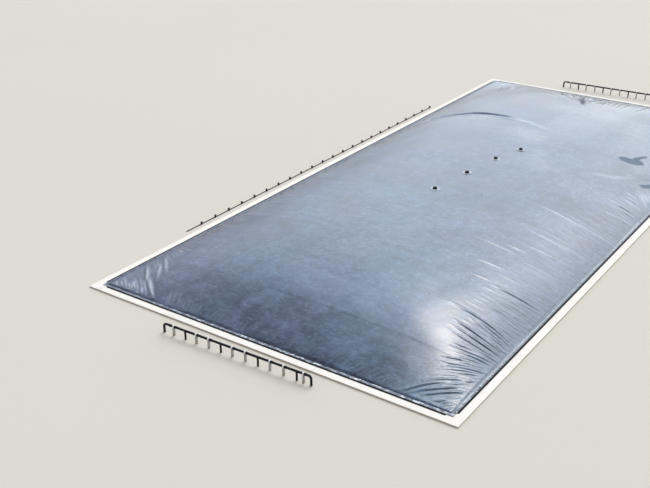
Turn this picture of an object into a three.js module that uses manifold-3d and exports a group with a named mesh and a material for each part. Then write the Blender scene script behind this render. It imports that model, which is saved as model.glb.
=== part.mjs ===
// Covered-lagoon biogas digester, from ground level up: a concrete ring beam round a rectangular
// basin, a black welded gas cover clamped to it, and the pipe racks at both ends.
// The plant is 121 m long, so this is a 1:10 scale model of it.
import * as THREE from 'three';
import { mergeVertices } from 'three/addons/utils/BufferGeometryUtils.js';
import Module from 'manifold-3d';

// Model millimetres for one metre of the real plant, at 1:10.
const M = 100;

// Seat left between pieces that bear on each other, in model millimetres.
const SEAT = 0.3;

// All sizes from here to the next comment block are metres of the real plant.
// X runs along the long side from the near end, Y across it from the right side, Z up.
// The inner edge of the white coping is the rectangle 0..LENGTH by 0..WIDTH.
const LENGTH = 112.4;
const WIDTH = 50.0;

const BEAM_OUT = 0.95;
const BEAM_IN = 0.95;
const BEAM_HEIGHT = 0.18;
const LONG_BAYS = 3;

const STRIP_WIDTH = 0.22;
const STRIP_THICK = 0.04;
const STRIP_CORNER_GAP = 1.0;

const SKIRT_START = 0.223;
const SKIRT_END = 0.6;
const SKIRT_THICK = 0.05;

const COVER_START = 0.603;
const COVER_THICK = 0.08;
const CROWN_RISE = 3.0;
const END_REACH = 30.0;
const SIDE_REACH = WIDTH / 2 - COVER_START;
const CLIMB_POWER = 3;
const COVER_CELLS_X = 56;
const COVER_CELLS_Y = 28;
const EDGE_CROWDING = 0.55;
const SUMP = { x: 104.5, y: 27.5, depth: 0.75, radius: 2.6 };
const EDGE_PULL = { x: 70.4, y: 3.85, depth: 0.45, radius: 3.0 };

const PORTS = [[45.3, 27.4], [53.75, 26.5], [61.85, 25.6], [67.9, 24.05]];
const PORT_RADIUS = 0.34;
const PORT_HEIGHT = 0.24;

// Each rack starts at its left end and runs across; turn is its angle to the coping, in degrees.
const NEAR_RACK = { x: -3.66, top: 35.6, turn: 1.7 };
const FAR_RACK = { x: LENGTH + 4.1, top: 36.3, turn: 2.4 };
const RACK_LENGTH = 20.37;
const PIPE_RADIUS = 0.14;
const PIPE_AXIS = 1.15;
const ELBOW_RADIUS = 0.36;
const DROP_FIRST = 3.16;
const DROP_PITCH = 5.12;
const DROP_RADIUS = 0.12;
const DROPS = 4;
const SUPPORT_BEFORE_DROP = 1.7;
const SUPPORT_AFTER_DROP = 1.62;
const SUPPORT_AFTER_LAST_DROP = 0.87;
const POST_WIDTH = 0.28;
const STRAP_WIDTH = 0.17;
const STRAP_THICK = 0.04;

const LINE_OFFSET = 2.15;
const LINE_START = 18.4;
const RISER_FIRST = 21.58;
const RISER_PITCH = 3.03;
const RISERS = 23;
const RISER_RADIUS = 0.17;
const RISER_HEIGHT = 0.38;
const LINE_RADIUS = 0.06;

// Finishes of the real pieces.
const concrete = () => new THREE.MeshStandardMaterial({ color: 0xe6e3da, roughness: 0.85, metalness: 0 });
const blackStrip = () => new THREE.MeshStandardMaterial({ color: 0x101114, roughness: 0.6, metalness: 0 });
const membrane = () => new THREE.MeshStandardMaterial({ color: 0x262b38, roughness: 0.35, metalness: 0 });
const blackPipe = () => new THREE.MeshStandardMaterial({ color: 0x0d0d10, roughness: 0.5, metalness: 0 });
const postFinish = () => new THREE.MeshStandardMaterial({ color: 0xb9b7ad, roughness: 0.75, metalness: 0.1 });

const wasm = await Module();
wasm.setup();

// Turns a closed geometry into a solid that can be joined.
function toSolid(geometry) {
  const plain = geometry.clone();
  plain.deleteAttribute('normal');
  plain.deleteAttribute('uv');
  const merged = mergeVertices(plain, 1e-4);
  return new wasm.Manifold(new wasm.Mesh({
    numProp: 3,
    vertProperties: new Float32Array(merged.attributes.position.array),
    triVerts: new Uint32Array(merged.index.array),
  }));
}

// Turns a joined solid back into a geometry.
function toGeometry(solid) {
  const mesh = solid.getMesh();
  const geometry = new THREE.BufferGeometry();
  geometry.setAttribute('position', new THREE.BufferAttribute(new Float32Array(mesh.vertProperties), 3));
  geometry.setIndex(new THREE.BufferAttribute(new Uint32Array(mesh.triVerts), 1));
  geometry.computeVertexNormals();
  return geometry;
}

function joined(geometries) {
  const solids = geometries.map(toSolid);
  return toGeometry(solids.slice(1).reduce((sum, solid) => sum.add(solid), solids[0]));
}

const plant = new THREE.Group();

function add(name, geometry, material, x = 0, y = 0, z = 0) {
  const mesh = new THREE.Mesh(geometry, material);
  mesh.name = name;
  mesh.position.set(x, y, z);
  plant.add(mesh);
  return mesh;
}

// A box between two corners, given in plant metres, drawn in by a small seat on the asked faces.
function slab(name, low, high, material, seat = { x0: 0, x1: 0, y0: 0, y1: 0, z0: 0 }) {
  const lowX = low[0] * M + (seat.x0 ?? 0);
  const highX = high[0] * M - (seat.x1 ?? 0);
  const lowY = low[1] * M + (seat.y0 ?? 0);
  const highY = high[1] * M - (seat.y1 ?? 0);
  const lowZ = low[2] * M + (seat.z0 ?? 0);
  const highZ = high[2] * M;
  const box = new THREE.BoxGeometry(highX - lowX, highY - lowY, highZ - lowZ);
  add(name, box, material, (lowX + highX) / 2, (lowY + highY) / 2, (lowZ + highZ) / 2);
}

// Ring beam: the long sides run through to the outer corners, the ends stand between them.
function ringBeam() {
  const x0 = -BEAM_OUT;
  const bay = (LENGTH + 2 * BEAM_OUT) / LONG_BAYS;
  for (let i = 0; i < LONG_BAYS; i += 1) {
    const seat = { x0: i === 0 ? 0 : SEAT };
    const from = x0 + i * bay;
    slab(`right_beam_${i + 1}`, [from, -BEAM_OUT, 0], [from + bay, BEAM_IN, BEAM_HEIGHT], concrete(), seat);
    slab(`left_beam_${i + 1}`, [from, WIDTH - BEAM_IN, 0], [from + bay, WIDTH + BEAM_OUT, BEAM_HEIGHT],
      concrete(), seat);
  }
  const ends = { y0: SEAT, y1: SEAT };
  slab('near_beam', [-BEAM_OUT, BEAM_IN, 0], [BEAM_IN, WIDTH - BEAM_IN, BEAM_HEIGHT], concrete(), ends);
  slab('far_beam', [LENGTH - BEAM_IN, BEAM_IN, 0], [LENGTH + BEAM_OUT, WIDTH - BEAM_IN, BEAM_HEIGHT],
    concrete(), ends);
}

// A flat band on the beam along each side, between two distances inside the coping's inner edge.
function bands(label, start, end, thick, cornerGap, material) {
  const top = BEAM_HEIGHT + thick;
  const lift = { z0: SEAT };
  const between = { y0: SEAT, y1: SEAT, z0: SEAT };
  const endInset = Math.max(cornerGap, end);
  slab(`right_${label}`, [Math.max(cornerGap, start), start, BEAM_HEIGHT],
    [LENGTH - Math.max(cornerGap, start), end, top], material(), lift);
  slab(`left_${label}`, [Math.max(cornerGap, start), WIDTH - end, BEAM_HEIGHT],
    [LENGTH - Math.max(cornerGap, start), WIDTH - start, top], material(), lift);
  slab(`near_${label}`, [start, endInset, BEAM_HEIGHT], [end, WIDTH - endInset, top], material(), between);
  slab(`far_${label}`, [LENGTH - end, endInset, BEAM_HEIGHT], [LENGTH - start, WIDTH - endInset, top],
    material(), between);
}

// A smooth hollow of the given depth round a point of the cover.
function hollow(spot, x, y) {
  const distance = Math.hypot(x - spot.x, y - spot.y) / spot.radius;
  return spot.depth * Math.exp(-distance * distance);
}

// Share of the full rise at a distance from one clamped edge: 0 at the edge, 1 from the reach on.
function climb(distance, reach) {
  const left = 1 - Math.min(1, Math.max(0, distance) / reach);
  return 1 - left ** CLIMB_POWER;
}

// Height of the blown-up cover above its clamped edge, in plant metres.
function pillow(x, y) {
  const fromEnd = Math.min(x, LENGTH - x) - COVER_START;
  const fromSide = Math.min(y, WIDTH - y) - COVER_START;
  const rise = CROWN_RISE * climb(fromEnd, END_REACH) * climb(fromSide, SIDE_REACH);
  return Math.max(0, rise - hollow(SUMP, x, y) - hollow(EDGE_PULL, x, y));
}

// A place along one side of the cover for a fraction 0..1, with lines closer together at the edges.
function coverLine(fraction, span) {
  const eased = fraction - (EDGE_CROWDING * Math.sin(2 * Math.PI * fraction)) / (2 * Math.PI);
  return COVER_START + (span - 2 * COVER_START) * eased;
}

// The cover is one thin shell: an upper and a lower sheet of the same grid, closed round the rim.
function coverGeometry() {
  const columns = COVER_CELLS_X + 1;
  const rows = COVER_CELLS_Y + 1;
  const positions = [];
  for (const lift of [COVER_THICK, 0]) {
    for (let j = 0; j < rows; j += 1) {
      for (let i = 0; i < columns; i += 1) {
        const x = coverLine(i / COVER_CELLS_X, LENGTH);
        const y = coverLine(j / COVER_CELLS_Y, WIDTH);
        positions.push(x * M, y * M, (BEAM_HEIGHT + pillow(x, y) + lift) * M + SEAT);
      }
    }
  }
  const sheet = columns * rows;
  const triangles = [];
  const quad = (a, b, c, d) => triangles.push(a, b, c, a, c, d);
  for (let j = 0; j < COVER_CELLS_Y; j += 1) {
    for (let i = 0; i < COVER_CELLS_X; i += 1) {
      const a = j * columns + i;
      quad(a, a + 1, a + 1 + columns, a + columns);
      quad(a + sheet, a + sheet + columns, a + sheet + 1 + columns, a + sheet + 1);
    }
  }
  for (let i = 0; i < COVER_CELLS_X; i += 1) {
    const far = (rows - 1) * columns + i;
    quad(i, i + sheet, i + 1 + sheet, i + 1);
    quad(far + 1, far + 1 + sheet, far + sheet, far);
  }
  for (let j = 0; j < COVER_CELLS_Y; j += 1) {
    const a = j * columns;
    const b = a + columns - 1;
    quad(a + columns, a + columns + sheet, a + sheet, a);
    quad(b, b + sheet, b + columns + sheet, b + columns);
  }
  const geometry = new THREE.BufferGeometry();
  geometry.setAttribute('position', new THREE.Float32BufferAttribute(positions, 3));
  geometry.setIndex(triangles);
  geometry.computeVertexNormals();
  return geometry;
}

// Highest point of the cover under a round foot, so that a port stands on it.
function coverTop(cover, x, y, radius) {
  const down = new THREE.Vector3(0, 0, -1);
  let top = 0;
  for (let k = 0; k <= 12; k += 1) {
    const reach = k === 0 ? 0 : radius;
    const from = new THREE.Vector3(
      x + reach * Math.cos((k * Math.PI) / 6),
      y + reach * Math.sin((k * Math.PI) / 6),
      2 * CROWN_RISE * M,
    );
    const hits = new THREE.Raycaster(from, down).intersectObject(cover);
    top = Math.max(top, hits[0].point.z);
  }
  return top;
}

// A gas port on the cover: a foot flange, a short neck and a blind lid, turned in one profile.
function portGeometry() {
  const r = PORT_RADIUS * M;
  const h = PORT_HEIGHT * M;
  const profile = [[0, 0], [r, 0], [r, 0.18 * h], [0.72 * r, 0.24 * h], [0.72 * r, 0.62 * h],
    [0.9 * r, 0.66 * h], [0.9 * r, 0.92 * h], [0.8 * r, h], [0, h]];
  return new THREE.LatheGeometry(profile.map(([x, y]) => new THREE.Vector2(x, y)), 16).rotateX(Math.PI / 2);
}

// A sweep path with one ring at each listed point, so that straight runs need no extra rings.
class PipeRun extends THREE.Curve {
  constructor(points) {
    super();
    this.points = points;
  }

  getPoint(t) {
    return this.points[Math.round(t * (this.points.length - 1))].clone();
  }

  getPointAt(t) {
    return this.getPoint(t);
  }

  getTangentAt(t) {
    const last = this.points.length - 1;
    const i = Math.round(t * last);
    const before = this.points[Math.max(0, i - 1)];
    const after = this.points[Math.min(last, i + 1)];
    return after.clone().sub(before).normalize();
  }
}

// Header pipe of a rack: up out of the ground, along, and down again, with its drop pipes welded in.
function headerGeometry() {
  const axis = PIPE_AXIS * M;
  const bend = ELBOW_RADIUS * M;
  const length = RACK_LENGTH * M;
  const points = [new THREE.Vector3(0, 0, 0)];
  const arcSteps = 8;
  for (let k = 0; k <= arcSteps; k += 1) {
    const turn = (k / arcSteps) * (Math.PI / 2);
    points.push(new THREE.Vector3(0, -bend * (1 - Math.cos(turn)), axis - bend + bend * Math.sin(turn)));
  }
  const mirrored = points.map((p) => new THREE.Vector3(0, -length - p.y, p.z)).reverse();
  const path = new PipeRun([...points, ...mirrored]);
  const section = new THREE.Shape().absarc(0, 0, PIPE_RADIUS * M, 0, 2 * Math.PI);
  const pipe = new THREE.ExtrudeGeometry(section, {
    steps: path.points.length - 1, extrudePath: path, curveSegments: 8,
  });
  const drops = [];
  for (let k = 0; k < DROPS; k += 1) {
    const drop = new THREE.CylinderGeometry(DROP_RADIUS * M, DROP_RADIUS * M, axis, 14);
    drop.rotateX(Math.PI / 2);
    drop.translate(0, -(DROP_FIRST + k * DROP_PITCH) * M, axis / 2);
    drops.push(drop);
  }
  return joined([pipe, ...drops]);
}

// Support of a header pipe: a square post whose head is a collar with a strap over the pipe.
function supportGeometry() {
  const axis = PIPE_AXIS * M;
  const collar = (PIPE_RADIUS + STRAP_THICK) * M;
  const half = (POST_WIDTH * M) / 2;
  const meet = Math.asin(half / collar);
  const outline = new THREE.Shape();
  outline.moveTo(-half, 0);
  outline.lineTo(half, 0);
  outline.lineTo(half, axis - collar * Math.cos(meet));
  outline.absarc(0, axis, collar, meet - Math.PI / 2, 1.5 * Math.PI - meet, false);
  outline.lineTo(-half, 0);
  const bore = new THREE.Path().absarc(0, axis, PIPE_RADIUS * M + SEAT, 0, 2 * Math.PI);
  outline.holes.push(bore);
  const depth = STRAP_WIDTH * M;
  const geometry = new THREE.ExtrudeGeometry(outline, { depth, bevelEnabled: false, curveSegments: 10 });
  geometry.rotateX(Math.PI / 2);
  geometry.translate(0, depth / 2, 0);
  return geometry;
}

// Distances of a rack's supports from its left end: one on each side of every drop pipe.
function supportReaches() {
  const reaches = [];
  for (let k = 0; k < DROPS; k += 1) {
    const drop = DROP_FIRST + k * DROP_PITCH;
    const after = k === DROPS - 1 ? SUPPORT_AFTER_LAST_DROP : SUPPORT_AFTER_DROP;
    reaches.push(drop - SUPPORT_BEFORE_DROP, drop + after);
  }
  return reaches;
}

function rack(label, place) {
  const turn = THREE.MathUtils.degToRad(place.turn);
  const header = headerGeometry().rotateZ(turn);
  add(`${label}_header_pipe`, header, blackPipe(), place.x * M, place.top * M);
  supportReaches().forEach((reach, k) => {
    const x = (place.x + reach * Math.sin(turn)) * M;
    const y = (place.top - reach * Math.cos(turn)) * M;
    add(`${label}_support_${k + 1}`, supportGeometry().rotateZ(turn), postFinish(), x, y);
  });
}

// Line along the left side: a thin pipe laid on the ground with short capped risers.
function riserLineGeometry() {
  const end = RISER_FIRST + (RISERS - 1) * RISER_PITCH;
  const length = (end - LINE_START) * M;
  const line = new THREE.CylinderGeometry(LINE_RADIUS * M, LINE_RADIUS * M, length, 8);
  line.rotateZ(Math.PI / 2);
  line.translate(LINE_START * M + length / 2, 0, LINE_RADIUS * M);
  const r = RISER_RADIUS * M;
  const h = RISER_HEIGHT * M;
  const profile = [[0, 0], [0.85 * r, 0], [0.85 * r, 0.72 * h], [r, 0.72 * h], [r, h], [0, h]];
  const risers = [];
  for (let k = 0; k < RISERS; k += 1) {
    const riser = new THREE.LatheGeometry(profile.map(([x, y]) => new THREE.Vector2(x, y)), 10);
    riser.rotateX(Math.PI / 2);
    riser.translate((RISER_FIRST + k * RISER_PITCH) * M, 0, 0);
    risers.push(riser);
  }
  return joined([line, ...risers]);
}

ringBeam();
bands('strip', 0, STRIP_WIDTH, STRIP_THICK, STRIP_CORNER_GAP, blackStrip);
bands('skirt', SKIRT_START, SKIRT_END, SKIRT_THICK, 0, membrane);
const cover = add('gas_cover', coverGeometry(), membrane());
cover.updateMatrixWorld(true);
PORTS.forEach(([x, y], k) => {
  const seat = coverTop(cover, x * M, y * M, PORT_RADIUS * M) + SEAT;
  add(`cover_port_${k + 1}`, portGeometry(), blackPipe(), x * M, y * M, seat);
});
rack('near', NEAR_RACK);
rack('far', FAR_RACK);
add('left_riser_line', riserLineGeometry(), blackPipe(), 0, (WIDTH + LINE_OFFSET) * M);

// The origin is the middle of the plant's footprint, on the ground.
const footprint = new THREE.Box3().setFromObject(plant);
const middle = footprint.getCenter(new THREE.Vector3());
plant.position.set(-middle.x, -middle.y, 0);

export default plant;
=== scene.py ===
import math

import bpy
import numpy as np
from mathutils import Matrix, Vector


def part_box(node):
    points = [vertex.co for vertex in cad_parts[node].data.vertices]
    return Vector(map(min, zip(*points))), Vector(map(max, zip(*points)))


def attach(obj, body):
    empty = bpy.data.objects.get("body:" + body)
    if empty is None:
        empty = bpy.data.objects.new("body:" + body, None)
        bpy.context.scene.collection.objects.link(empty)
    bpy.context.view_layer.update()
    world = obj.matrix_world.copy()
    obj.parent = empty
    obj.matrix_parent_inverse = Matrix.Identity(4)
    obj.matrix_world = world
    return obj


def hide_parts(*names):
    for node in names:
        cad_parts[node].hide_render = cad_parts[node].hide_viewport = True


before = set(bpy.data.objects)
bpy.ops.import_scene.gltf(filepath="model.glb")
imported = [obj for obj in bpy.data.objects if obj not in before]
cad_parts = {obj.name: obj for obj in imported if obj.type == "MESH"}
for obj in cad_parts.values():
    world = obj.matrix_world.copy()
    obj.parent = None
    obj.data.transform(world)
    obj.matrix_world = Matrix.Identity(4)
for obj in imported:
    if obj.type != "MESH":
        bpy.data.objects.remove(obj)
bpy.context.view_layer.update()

# The part is a 1:10 model. Lengths below are metres of the real plant, measured from the inner
# corner of the white coping, X along the long side, Y across it; row() turns them into the model.
SCALE = 0.1
LENGTH = 112.4
WIDTH = 50.0

# The pillow: where its toe runs, the height of the toe and of the curl above it, the sheet's shown
# thickness, and how far in from the ends and the long sides it climbs to its crown.
COVER_START = 0.603
TOE_TOP = 0.205
TOE_REACH = 0.05
COVER_TOP = 0.26
SHEET = 0.02
CROWN_RISE = 3.0
END_REACH = 30.0
SIDE_REACH = WIDTH / 2 - COVER_START
CLIMB_POWER = 3.0

cover_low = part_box("gas_cover")[0]
MIDDLE_X = COVER_START - cover_low[0] / SCALE
MIDDLE_Y = COVER_START - cover_low[1] / SCALE

PORTS = ((45.3, 27.4), (53.75, 26.5), (61.85, 25.6), (67.9, 24.05))
PORT_CLEAR = 1.1
# Round hollows: plan place, depth and radius.
HOLLOWS = ((104.5, 27.5, 0.3375, 2.6), (70.4, 3.85, 0.45, 3.0), (75.9, 8.8, 0.1, 1.9))

SEAM_FIRST = 8.8
SEAM_PITCH = 8.3
PANELS = 14
LAP = 0.15
LAP_LIFT = 0.005
# Length of the sheet over its span from toe to toe: the arc over the crown, and the folds' slack.
SHEET_OVER_SPAN = 1.012
# Cells along and across each panel, and how far the rows crowd towards the two long sides.
FIRST_GRID = (90, 330, 0.15)
NEAR_GRID = (100, 190, 0.6)
MIDDLE_GRID = (60, 160, 0.6)
FAR_GRID = (56, 320, 0.15)
PANEL_GRIDS = (FIRST_GRID, *[NEAR_GRID] * 3, *[MIDDLE_GRID] * 7, *[FAR_GRID] * 3)


def row(x, y, z):
    """A place of the real plant, in the model's metres."""
    return Vector(((x - MIDDLE_X) * SCALE, (y - MIDDLE_Y) * SCALE, z * SCALE))


# ---- node trees


class Value:
    """One socket of a node tree. Sums, products and powers of values add Math nodes."""

    def __init__(self, graph, socket):
        self.graph = graph
        self.socket = socket

    def math(self, operation, *values):
        return self.graph.node("ShaderNodeMath", dict(enumerate(values)), {"operation": operation})

    def __add__(self, other):
        return self.math("ADD", self, other)

    __radd__ = __add__

    def __sub__(self, other):
        return self.math("SUBTRACT", self, other)

    def __rsub__(self, other):
        return self.math("SUBTRACT", other, self)

    def __mul__(self, other):
        return self.math("MULTIPLY", self, other)

    __rmul__ = __mul__

    def __truediv__(self, other):
        return self.math("DIVIDE", self, other)

    def __pow__(self, other):
        return self.math("POWER", self, other)

    def __abs__(self):
        return self.math("ABSOLUTE", self)

    def sine(self):
        return self.math("SINE", self)

    def exp(self):
        return self.math("EXPONENT", self)

    def least(self, other):
        return self.math("MINIMUM", self, other)

    def most(self, other):
        return self.math("MAXIMUM", self, other)

    def clamped(self):
        return self.most(0.0).least(1.0)

    def swing(self, amount):
        """A noise between 0 and 1, centred on zero and scaled."""
        return (self - 0.5) * amount

    def wrapped(self, span):
        return self.math("WRAP", self, span, 0.0)

    def above(self, low, high):
        """0 below low, 1 above high, and a smooth step between them."""
        return self.graph.node(
            "ShaderNodeMapRange",
            {"Value": self, "From Min": low, "From Max": high},
            {"interpolation_type": "SMOOTHSTEP"},
        )


class Graph:
    """A node tree that is being built."""

    def __init__(self, tree):
        self.tree = tree

    def node(self, kind, sockets=None, settings=None, output=0):
        made = self.tree.nodes.new(kind)
        for key, setting in (settings or {}).items():
            setattr(made, key, setting)
        for key, given in (sockets or {}).items():
            target = made.inputs[key]
            if isinstance(given, Value):
                self.tree.links.new(given.socket, target)
            else:
                target.default_value = given
        return Value(self, made.outputs[output]) if made.outputs else made


def xyz(graph, vector):
    """The three numbers of a vector."""
    parts = graph.node("ShaderNodeSeparateXYZ", {0: vector})
    outputs = parts.socket.node.outputs
    return [Value(graph, outputs[k]) for k in range(3)]


# ---- finishes


class Finish(Graph):
    """A material with one Principled shader, patterned by the piece's own Object coordinates."""

    def __init__(self, name):
        self.material = bpy.data.materials.new(name)
        self.material.use_nodes = True
        super().__init__(self.material.node_tree)
        self.tree.nodes.clear()
        self.place = self.node("ShaderNodeTexCoord", output="Object")

    def noise(self, scale, detail=3.0, roughness=0.5, stretch=None, seed=0.0):
        place = self.place
        if stretch or seed:
            location = (seed, seed * 0.7, 0.0)
            sockets = {"Vector": place, "Location": location, "Scale": stretch or (1, 1, 1)}
            place = self.node("ShaderNodeMapping", sockets)
        sockets = {"Vector": place, "Scale": scale, "Detail": detail, "Roughness": roughness}
        return self.node("ShaderNodeTexNoise", sockets)

    def mix(self, factor, first, second):
        sockets = {0: factor, 6: self.colour(first), 7: self.colour(second)}
        return self.node("ShaderNodeMix", sockets, {"data_type": "RGBA"}, output=2)

    @staticmethod
    def colour(given):
        return given if isinstance(given, Value) else (*given, 1.0)

    def ends(self, x):
        """1 on what lies along the plant's two ends, 0 along its long sides."""
        from_middle = abs(x - (LENGTH / 2 - MIDDLE_X) * SCALE)
        return from_middle.above((LENGTH / 2 - 1) * SCALE, (LENGTH / 2 - 0.9) * SCALE)

    def attribute(self, name):
        return self.node("ShaderNodeAttribute", settings={"attribute_name": name}, output="Fac")

    def pleats(self, across, inward, scale, roughness):
        """Noise that is fine across the pleats and long along them."""
        run = self.node("ShaderNodeCombineXYZ", {0: across, 1: inward, 2: 0.0})
        sockets = {"Vector": run, "Scale": scale, "Detail": 3.0, "Roughness": roughness}
        return self.node("ShaderNodeTexNoise", sockets)

    def bump(self, height, strength, distance):
        sockets = {"Height": height, "Strength": strength, "Distance": distance}
        return self.node("ShaderNodeBump", sockets)

    def shader(self, colour, roughness, normal=None, **fixed):
        sockets = {"Base Color": self.colour(colour), "Roughness": roughness}
        if normal:
            sockets["Normal"] = normal
        sockets.update({key.replace("_", " "): given for key, given in fixed.items()})
        return self.node("ShaderNodeBsdfPrincipled", sockets)

    def done(self, colour, roughness, normal=None, over=None, **fixed):
        """Ends the material. A second shader may lie over the first where its factor is 1."""
        surface = self.shader(colour, roughness, normal, **fixed)
        if over:
            factor, second = over
            surface = self.node("ShaderNodeMixShader", {0: factor, 1: surface, 2: second})
        self.node("ShaderNodeOutputMaterial", {"Surface": surface})
        return self.material


def membrane_finish():
    """Black welded sheet under a thin film of dust, with pale dust and a painted highlight on its folds,
    patches of painted sheen and painted shade, and silt in its hollows.
    """
    clean = (0.004, 0.009, 0.021)
    dusts = ((0.074, 0.114, 0.164), (0.09, 0.107, 0.168))
    # Colours of the painted sheen.
    sheen_colours = ((0.184, 0.203, 0.212), (0.197, 0.199, 0.219))
    light_patch_colour = (0.4, 0.41, 0.41)
    chalk_and_highlight_colour = (0.46, 0.47, 0.49)
    silts = ((0.062, 0.087, 0.114), (0.138, 0.17, 0.2))

    sheet = Finish("membrane")
    x, y = xyz(sheet, sheet.place)[:2]
    inward = sheet.attribute("inward")
    seam_grime_and_shade = sheet.attribute("seam_grime_and_shade")
    light_and_shade = sheet.attribute("light_and_shade_patches")

    # The film of dust: cloudy, brushed, mottled and specked, and a little different on each panel.
    blotch = sheet.noise(1.1, 5.0, 0.6)
    brushed = sheet.noise(2.6, 4.0, 0.55, stretch=(3.5, 0.8, 1.0), seed=3.1)
    mottle = sheet.noise(7.0, 6.0, 0.74, seed=8.2)
    specks = sheet.noise(17.0, 4.0, 0.7, stretch=(1.6, 0.8, 1.0), seed=9.4).above(0.5, 0.72)
    tone = sheet.attribute("tone")
    dust = 0.26 + blotch.swing(0.9) + brushed.swing(0.6) + mottle.swing(1.4) + tone.swing(0.25)
    # Just past each lapped seam the dust is thinned towards black: dirt, and a painted shade of the lap.
    dust = ((dust + specks * 0.5) * (1 - 0.75 * seam_grime_and_shade)).clamped()
    tint = sheet.noise(0.9, 3.0, 0.5, seed=12.6).above(0.42, 0.58)
    film = sheet.mix(dust, clean, sheet.mix(tint, *dusts))

    # Painted sheen: the sheet is painted paler over the far half and along the rim of the right side.
    cloud = sheet.noise(0.75, 3.0, 0.5, stretch=(0.8, 1.4, 1.0), seed=6.2).above(0.4, 0.66)
    right_rim_sheen = (1 - inward.above(0.02, 0.22)) * x.above(-5.58, -5.45) * (1 - y.above(-2.3, -2.2))
    far_half_sheen = x.above(0.0, 4.6) * (0.1 + 0.42 * cloud)
    painted_sheen = (far_half_sheen + light_and_shade.least(0.0)).most(right_rim_sheen * 0.8).least(1.0)
    sheened = sheet.mix(painted_sheen, film, sheet.mix(tint, *sheen_colours))
    # Above zero the broad patches paint the sheet paler, a painted sheen; below zero they take from the
    # painted sheen, a painted shade.
    cloudy = sheet.mix(light_and_shade.most(0.0) * (0.6 + 0.8 * mottle), sheened, light_patch_colour)
    # Pale dust on the fold crests, and with it a painted highlight: the crests are painted paler, most
    # towards the far end.
    chalked_and_highlighted = sheet.mix(sheet.attribute("chalk_and_highlight"), cloudy, chalk_and_highlight_colour)

    pleat = sheet.pleats(sheet.attribute("across"), inward * 0.16, 2.6, 0.55)
    ripple = sheet.noise(5.5, 4.0, 0.6, seed=1.7) * 0.35 + sheet.noise(26.0, 3.0, 0.6) * 0.09
    normal = sheet.bump(ripple + pleat * sheet.attribute("pleated") * 0.8, 0.5, 0.01)
    roughness = 0.12 + 0.09 * blotch + 0.06 * dust + 0.15 * seam_grime_and_shade

    edge = 1 + sheet.noise(12.0, 4.0, 0.65, seed=2.6).swing(1.6)
    ragged = (sheet.attribute("silt") * edge).above(0.35, 0.65)
    silt = sheet.shader(sheet.mix(mottle, *silts), 0.85, normal, Specular_IOR_Level=0.15)
    return sheet.done(chalked_and_highlighted, roughness, normal, over=(ragged * 0.85, silt))


def skirt_finish():
    """The same sheet where it lies flat on the beam: dusty, pinched into short pleats, and with a painted
    sheen beside the right toe.
    """
    sheet = Finish("membrane skirt")
    x, y = xyz(sheet, sheet.place)[:2]
    ends = sheet.ends(x)
    along = x * (1 - ends) + y * ends
    pleat = sheet.pleats(along * 7.0, (x + y) * 1.5, 1.6, 0.6)
    dust = (0.4 + sheet.noise(7.0, 4.0, 0.6).swing(1.3)).clamped()
    pale = sheet.mix(dust, (0.11, 0.12, 0.14), (0.34, 0.35, 0.36))
    dark = sheet.mix(dust, (0.014, 0.021, 0.034), (0.07, 0.084, 0.108))
    # Along the right side the skirt is painted pale in a narrow band beside the toe, up to the near
    # corner: a painted sheen.
    right_toe_sheen = (1 - y.above(-2.5, -2.49)) * y.above(-2.531, -2.52)
    film = sheet.mix(right_toe_sheen * x.above(-5.6, -5.4), dark, pale)
    # White flecks at the near end, fewer towards its left, and at the start of the right side.
    near_end = (1 - x.above(-5.63, -5.6)) * (1 - 0.7 * y.above(0.2, 2.2))
    near_right = (1 - x.above(-4.9, -3.6)) * (1 - y.above(-2.4, -2.3)) * 0.6
    flecks = sheet.noise(26.0, 3.0, 0.6, stretch=(1.6, 0.7, 1.0), seed=4.4).above(0.52, 0.6)
    flecks = flecks * near_end.most(near_right)
    colour = sheet.mix(flecks * 0.75, film, (0.58, 0.57, 0.55))
    relief = pleat.above(0.4, 0.62) + sheet.noise(45.0, 3.0, 0.5) * 0.1
    return sheet.done(colour, 0.26 + 0.2 * dust, sheet.bump(relief, 0.8, 0.01))


def patch_finish():
    """A round of new sheet welded under a port, pale with dust round its rim."""
    patch = Finish("port patch")
    spots = patch.noise(24.0, 4.0, 0.6)
    colour = patch.mix(spots.above(0.35, 0.65), (0.2, 0.215, 0.24), (0.34, 0.35, 0.36))
    return patch.done(colour, 0.45 + 0.2 * spots, patch.bump(spots, 0.3, 0.001))


def concrete_finish():
    """Sun-bleached cast concrete: cloudy tone, pour joints, fine pits and a grubby outer foot."""
    pour = 0.6
    joint_width = 0.006
    stone = Finish("concrete")
    x, y, z = xyz(stone, stone.place)
    cloud = stone.noise(1.6, 5.0, 0.6)
    grain = stone.noise(60.0, 4.0, 0.65)
    stain = stone.noise(5.0, 5.0, 0.62, seed=5.3).above(0.56, 0.74)
    ends = stone.ends(x)
    joint_x, joint_y = (
        (1 - abs((run / pour).wrapped(1.0) - 0.5) / joint_width).most(0.0) for run in (x, y)
    )
    joint = (joint_y * ends + joint_x * (1 - ends)).least(1.0)
    pale = stone.mix(cloud, (0.585, 0.53, 0.46), (0.68, 0.625, 0.545))
    dirty = stone.mix(stain * 0.3, pale, (0.42, 0.38, 0.31))
    footed = stone.mix((1 - z.above(0.001, 0.012)) * 0.45, dirty, (0.28, 0.245, 0.19))
    jointed = stone.mix(joint * 0.45, footed, (0.24, 0.22, 0.19))
    relief = grain * 0.5 + cloud * 0.3 - joint * 2.0
    return stone.done(jointed, 0.82 + 0.1 * grain, stone.bump(relief, 0.35, 0.003))


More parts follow.
